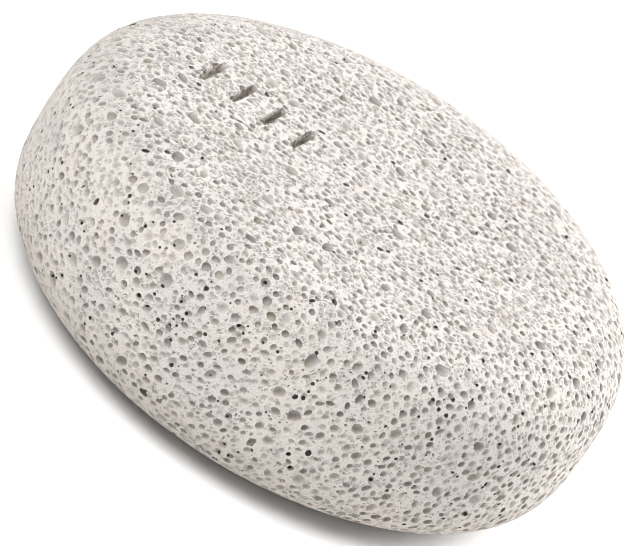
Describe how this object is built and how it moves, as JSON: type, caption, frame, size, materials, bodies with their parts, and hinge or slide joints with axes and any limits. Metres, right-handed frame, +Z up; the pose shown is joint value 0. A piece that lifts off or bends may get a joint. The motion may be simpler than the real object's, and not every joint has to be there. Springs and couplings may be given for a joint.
{
  "type": "pumice stone",
  "caption": "Oval block of pumice with a flat top and base, soft edges and open pits all over, held in the hand to rub hard skin smooth.",
  "frame": {"origin": "middle of the footprint, on the plane the stone rests on", "axes": "+X along the long way of the oval, +Y along its short way, +Z up through the height, away from the base"},
  "size_m": [0.0963, 0.0872, 0.0342],
  "materials": {
    "pumice": "dull, chalky, full of open pits"
  },
  "bodies": {
    "root": {"pumice_stone": "pumice"}
  },
  "joints": []
}
